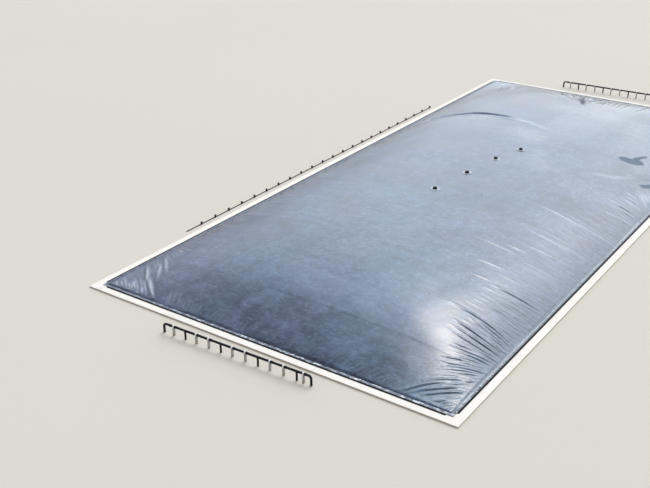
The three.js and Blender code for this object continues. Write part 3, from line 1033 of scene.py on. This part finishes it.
def ring_tree():
    """A closed ring of rounded section on every place, its axis turned as asked."""
    inputs = {**PLACED, "Sides": "Int"}
    graph, given, sockets = new_tree("rings", inputs, ("Ring radius", "Width", "Thickness"))
    size = {"Resolution": given["Sides"], "Radius": given["Ring radius"]}
    circle = graph.node("GeometryNodeCurvePrimitiveCircle", size)
    size = {"Width": given["Thickness"], "Height": given["Width"]}
    section = graph.node("GeometryNodeCurvePrimitiveQuadrilateral", size)
    corner = given["Thickness"].least(given["Width"]) * 0.4
    corners = {"Curve": section, "Count": 2, "Radius": corner}
    rounded = graph.node("GeometryNodeFilletCurve", corners, {"mode": "POLY"})
    ring = graph.node("GeometryNodeCurveToMesh", {"Curve": circle, "Profile Curve": rounded})
    spread(graph, given, ring)
    return graph, sockets


def bolt_tree():
    """A through bolt on every place: a hexagon and a washer at each end of its shank."""
    graph, given, sockets = new_tree("through bolts", PLACED, ("Shank radius", "Grip"))
    radius = given["Shank radius"]
    join = graph.tree.nodes.new("GeometryNodeJoinGeometry")

    def cylinder(sides, wide, deep, height):
        size = {"Vertices": sides, "Radius": wide, "Depth": deep}
        made = graph.node("GeometryNodeMeshCylinder", size)
        lift = graph.node("ShaderNodeCombineXYZ", {2: height})
        moved = graph.node("GeometryNodeTransform", {"Geometry": made, "Translation": lift})
        graph.tree.links.new(moved.socket, join.inputs[0])

    cylinder(10, radius, given["Grip"] + radius * SHANK_PAST, 0.0)
    for side in (-1.0, 1.0):
        for sides, (wide, deep, past) in ((14, WASHER), (6, HEXAGON)):
            cylinder(sides, radius * wide, radius * deep, side * (given["Grip"] * 0.5 + radius * past))
    spread(graph, given, Value(graph, join.outputs[0]))
    return graph, sockets


def bead_tree():
    """A weld bead along a line: a round section that swells and thins with a seeded noise."""
    inputs = {"Line": "Geometry", "Material": "Material"}
    graph, given, sockets = new_tree("weld bead", inputs, ("Radius", "Step", "Swell"))
    curve = graph.node("GeometryNodeMeshToCurve", {"Mesh": given["Line"]})
    stepped = {"Curve": curve, "Length": given["Step"]}
    curve = graph.node("GeometryNodeResampleCurve", stepped, {"mode": "LENGTH"})
    place = graph.node("GeometryNodeInputPosition")
    noise = graph.node("ShaderNodeTexNoise", {"Vector": place, "Scale": 18.0, "Detail": 1.0})
    size = {"Resolution": 6, "Radius": given["Radius"]}
    section = graph.node("GeometryNodeCurvePrimitiveCircle", size)
    swept = {"Curve": curve, "Profile Curve": section, "Scale": 1 + noise.swing(given["Swell"])}
    bead = graph.node("GeometryNodeCurveToMesh", {**swept, "Fill Caps": True})
    close_tree(graph, bead, given["Material"])
    return graph, sockets


def fitted(piece):
    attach(piece, "root")


def rack_place(end, reach, height, aside=0.0):
    """A place of a rack in the model, from its left end along its header pipe."""
    x, y, turn = RACK_PLACES[end]
    turn = math.radians(turn)
    return row(
        x + reach * math.sin(turn) + aside * math.cos(turn),
        y - reach * math.cos(turn) + aside * math.sin(turn),
        height,
    )


def rings(name, tree, places, size, turn, material, sides=20):
    radius, width, thickness = (length * SCALE for length in size)
    settings = {
        "Turn": turn, "Ring radius": radius, "Width": width, "Thickness": thickness,
        "Sides": sides, "Material": material,
    }
    piece = grown(name, *tree, settings, points_mesh(places))
    piece.data.shade_smooth()
    piece.data.set_sharp_from_angle(angle=math.radians(50))
    fitted(piece)


def bolts(name, tree, places, size, turn, material):
    radius, grip = (length * SCALE for length in size)
    settings = {"Turn": turn, "Shank radius": radius, "Grip": grip, "Material": material}
    fitted(grown(name, *tree, settings, points_mesh(places)))


def rack_fittings(ring, bolt):
    for end in RACK_PLACES:
        lying = (math.pi / 2, 0.0, math.radians(RACK_PLACES[end][2]))
        reaches = [SUPPORTS[0] - COUPLER_BEFORE] + [reach + COUPLER_PAST for reach in SUPPORTS]
        sleeves = [rack_place(end, reach, PIPE_AXIS) for reach in reaches]
        rings(f"{end}_couplers", ring, sleeves, COUPLER, lying, PIPE)
        elbows = (BEND + ELBOW_WITHIN, RACK_LENGTH - BEND - ELBOW_WITHIN)
        seams = [rack_place(end, reach, PIPE_AXIS) for reach in elbows]
        rings(f"{end}_elbow_welds", ring, seams, ELBOW_WELD, lying, WELD)
        tees = [rack_place(end, drop, PIPE_AXIS - TEE_BELOW) for drop in DROPS]
        rings(f"{end}_tee_collars", ring, tees, TEE_COLLAR, UPRIGHT, PIPE)
        heads = [
            rack_place(end, reach, PIPE_AXIS - STRAP_BELOW, aside)
            for reach in SUPPORTS
            for aside in (-STRAP_ASIDE, STRAP_ASIDE)
        ]
        bolts(f"{end}_strap_bolts", bolt, heads, STRAP_BOLT, lying, STEEL)
    collars = [row(x, RISER_Y, COLLAR_UP) for x in RISERS]
    rings("riser_collars", ring, collars, RISER_COLLAR, UPRIGHT, PIPE, sides=16)


def port_fittings(ring, bolt):
    """On each port: eight lid bolts, and under it a round patch of sheet with a bead at its rim."""
    lids = []
    feet = []
    for k in range(1, 5):
        low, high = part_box(f"cover_port_{k}")
        foot = Vector(((low[0] + high[0]) / 2, (low[1] + high[1]) / 2, low[2]))
        lid = foot + Vector((0, 0, LID_UP * SCALE))
        for turn in range(LID_BOLTS):
            angle = 2 * math.pi * (turn + 0.5) / LID_BOLTS
            out = Vector((math.cos(angle), math.sin(angle), 0.0)) * LID_BOLT_CIRCLE * SCALE
            lids.append(lid + out)
        feet.append(foot + Vector((0, 0, PATCH_UP * SCALE)))
    bolts("port_bolts", bolt, lids, LID_BOLT, UPRIGHT, PIPE)
    rings("port_patches", ring, feet, PORT_PATCH, UPRIGHT, PATCH, sides=48)
    rings("port_patch_beads", ring, feet, PATCH_BEAD, UPRIGHT, PATCH, sides=48)


def skirt_beads(inset=0.225, height=0.232, corner=1.0):
    """The weld that joins each skirt to its black strip."""
    graph, sockets = bead_tree()
    long_run = (corner, LENGTH - corner)
    cross_run = (corner, WIDTH - corner)
    lines = {
        "right": [row(x, inset, height) for x in long_run],
        "left": [row(x, WIDTH - inset, height) for x in long_run],
        "near": [row(inset, y, height) for y in cross_run],
        "far": [row(LENGTH - inset, y, height) for y in cross_run],
    }
    settings = {"Radius": 0.016 * SCALE, "Step": 0.16 * SCALE, "Swell": 0.7, "Material": WELD}
    for side, line in lines.items():
        piece = grown(f"{side}_skirt_weld", graph, sockets, settings, points_mesh(line, joined=True))
        piece.data.shade_smooth()
        fitted(piece)


ring_and_bolt = (ring_tree(), bolt_tree())
rack_fittings(*ring_and_bolt)
port_fittings(*ring_and_bolt)
skirt_beads()


# ---- studio


# Soft glows of the dome: azimuth, elevation, tightness and colour.
GLOWS = (
    (-19.4, 22.0, 8.0, (3.05, 3.3, 3.55)),
    (6.0, 38.0, 60.0, (2.5, 2.38, 2.6)),
    (16.3, 45.6, 240.0, (8.0, 6.0, 4.4)),
    (17.6, 47.2, 200.0, (6.8, 6.8, 6.9)),
    (16.0, 46.0, 45.0, (2.5, 3.25, 3.5)),
    (32.0, 42.0, 20.0, (0.6, 0.85, 1.4)),
    (30.0, 24.0, 14.0, (1.5, 1.7, 1.8)),
    (18.0, 8.0, 20.0, (0.3, 0.28, 0.28)),
    (60.0, 30.0, 8.0, (0.82, 0.9, 1.2)),
    (-45.0, 40.0, 8.0, (1.0, 1.3, 1.7)),
    (205.0, 38.0, 6.0, (1.05, 1.05, 1.08)),
    (130.0, 30.0, 5.0, (0.75, 0.8, 0.9)),
)
DOME_BASE = (0.048, 0.05, 0.055)
BACKDROP = (0.62, 0.6, 0.55, 1.0)
LAMP_TOWARD = Vector((0.499, 0.03, 0.866))

# The camera that the coping's rectangle gives: where it stands on the plant, and its own axes.
CAMERA_PLACE = (-72.62, -34.97, 57.38)
CAMERA_RIGHT = Vector((0.57065, -0.82119, -0.00165))
CAMERA_UP = Vector((0.35414, 0.24428, 0.90272))
CAMERA_FORWARD = Vector((0.74091, 0.51573, -0.43021))


def glow_round(dome, direction, azimuth, elevation, tightness):
    """A soft glow of the dome round one direction."""
    turn = math.radians(azimuth)
    lift = math.radians(elevation)
    toward = (math.cos(turn) * math.cos(lift), math.sin(turn) * math.cos(lift), math.sin(lift))
    sockets = {0: direction, 1: toward}
    facing = dome.node("ShaderNodeVectorMath", sockets, {"operation": "DOT_PRODUCT"}, output="Value")
    return ((facing - 1) * tightness).exp()


def studio_floor():
    bpy.ops.mesh.primitive_plane_add(size=160.0, location=(0.0, 0.0, -0.001))
    floor = bpy.context.object
    floor.name = "studio_floor"
    floor.data.materials.append(floor_finish())


def studio_dome():
    """The dome lights the part and lies in its gloss; behind the floor the backdrop is one colour."""
    world = bpy.data.worlds.new("studio dome")
    bpy.context.scene.world = world
    world.use_nodes = True
    world.node_tree.nodes.clear()
    dome = Graph(world.node_tree)
    direction = dome.node("ShaderNodeTexCoord", output="Generated")
    glows = [(glow_round(dome, direction, *shape), colour) for *shape, colour in GLOWS]
    sockets = {}
    for k, channel in enumerate(("Red", "Green", "Blue")):
        sockets[channel] = sum((glow * colour[k] for glow, colour in glows), DOME_BASE[k])
    light = dome.node("ShaderNodeCombineColor", sockets)
    seen = dome.node("ShaderNodeLightPath", output="Is Camera Ray")
    shades = {0: seen, 6: light, 7: BACKDROP}
    shade = dome.node("ShaderNodeMix", shades, {"data_type": "RGBA"}, output=2)
    glow = dome.node("ShaderNodeBackground", {"Color": shade, "Strength": 1.0})
    dome.node("ShaderNodeOutputWorld", {"Surface": glow})


def studio_lamp():
    lamp = bpy.data.lights.new("soft key", "SUN")
    lamp.angle = math.radians(16.0)
    lamp.energy = 1.1
    lamp.color = (1.0, 0.97, 0.92)
    key = bpy.data.objects.new("soft key", lamp)
    key.location = LAMP_TOWARD * 24.0
    key.rotation_euler = LAMP_TOWARD.to_track_quat("Z", "Y").to_euler()
    key.visible_glossy = False
    bpy.context.scene.collection.objects.link(key)


def camera():
    data = bpy.data.cameras.new("camera")
    data.sensor_width = 36.0
    data.lens = 53.8
    data.clip_end = 400.0
    eye = bpy.data.objects.new("camera", data)
    turn = Matrix((CAMERA_RIGHT, CAMERA_UP, -CAMERA_FORWARD)).transposed()
    eye.matrix_world = Matrix.Translation(row(*CAMERA_PLACE)) @ turn.to_4x4()
    bpy.context.scene.collection.objects.link(eye)
    bpy.context.scene.camera = eye


studio_floor()
studio_dome()
studio_lamp()
camera()
bpy.context.scene.view_settings.view_transform = "Standard"
